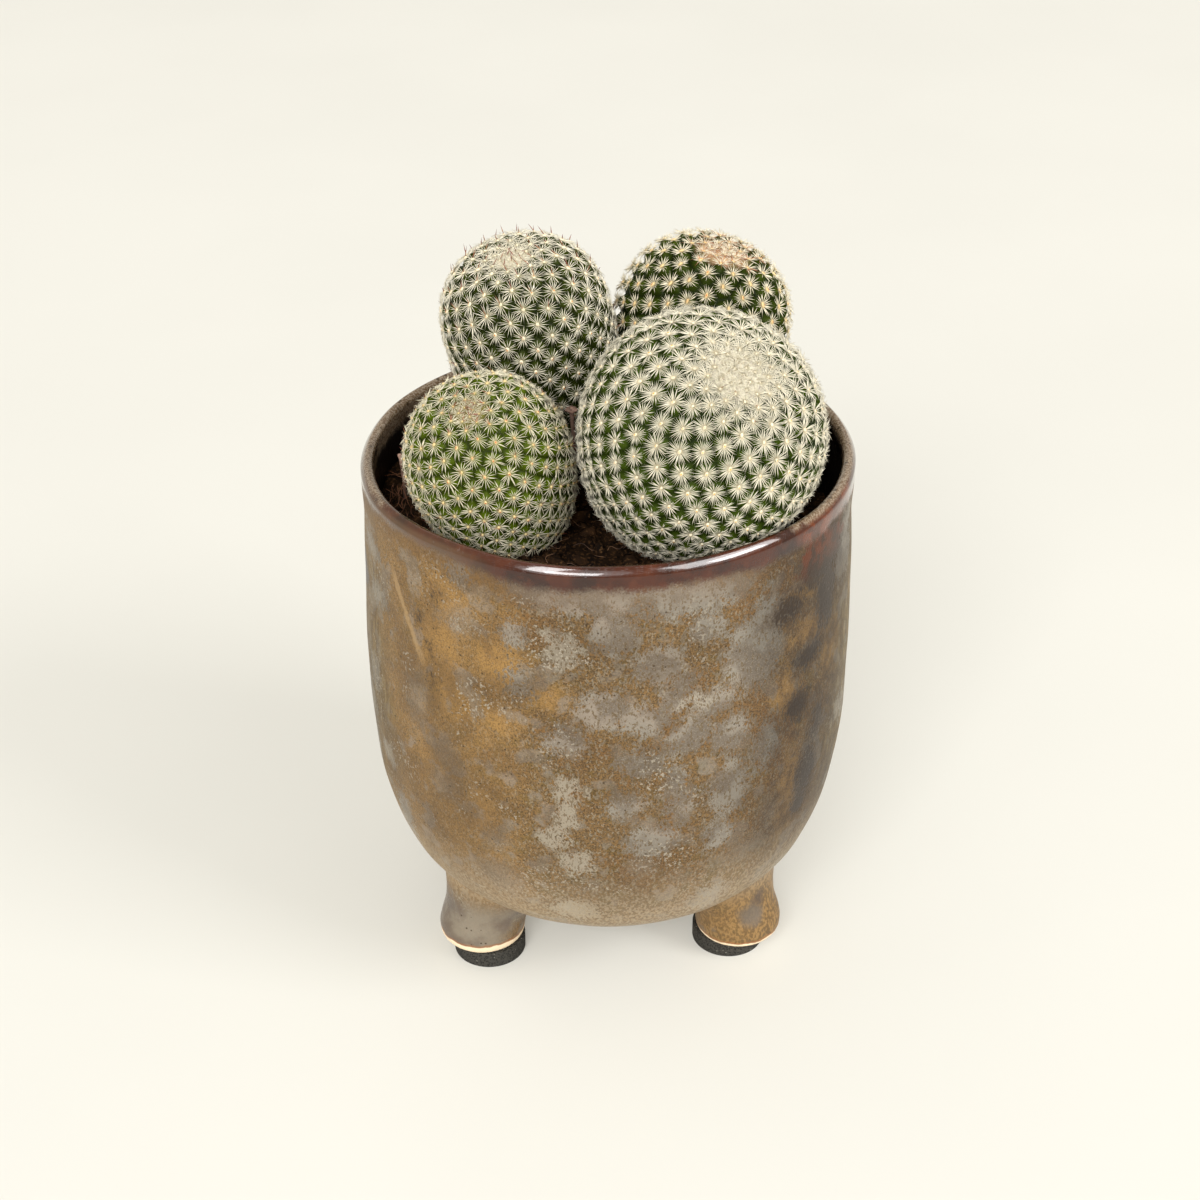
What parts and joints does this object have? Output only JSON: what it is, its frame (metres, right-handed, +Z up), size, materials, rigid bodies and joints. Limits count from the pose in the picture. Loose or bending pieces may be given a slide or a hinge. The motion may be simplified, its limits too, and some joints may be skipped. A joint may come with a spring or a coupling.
{
  "type": "potted cactus",
  "caption": "Clump of round, spiny cactus heads in a rounded glazed pot on three short feet with foam pads.",
  "frame": {"origin": "on the pot's axis, at the level of the surface that the foam pads stand on", "axes": "+Z up; -Y towards the front, where two of the three feet show"},
  "size_m": [0.1072, 0.1072, 0.1616],
  "materials": {
    "glaze": "satin metallic reaction glaze, bronze brown with silver-grey blotches, red-brown at the lip",
    "foam": "matt black closed-cell foam",
    "peat": "dark brown peat with fibres and bark crumbs",
    "cactus_dark": "green skin under white spine stars",
    "cactus_bright": "bright green skin under white spine stars"
  },
  "bodies": {
    "root": {"pot": "glaze", "foam_pad_left": "foam", "foam_pad_right": "foam", "foam_pad_back": "foam", "soil": "peat", "head_front_right": "cactus_dark", "head_front_left": "cactus_bright", "head_back_left": "cactus_dark", "head_back_right": "cactus_dark"}
  },
  "joints": []
}
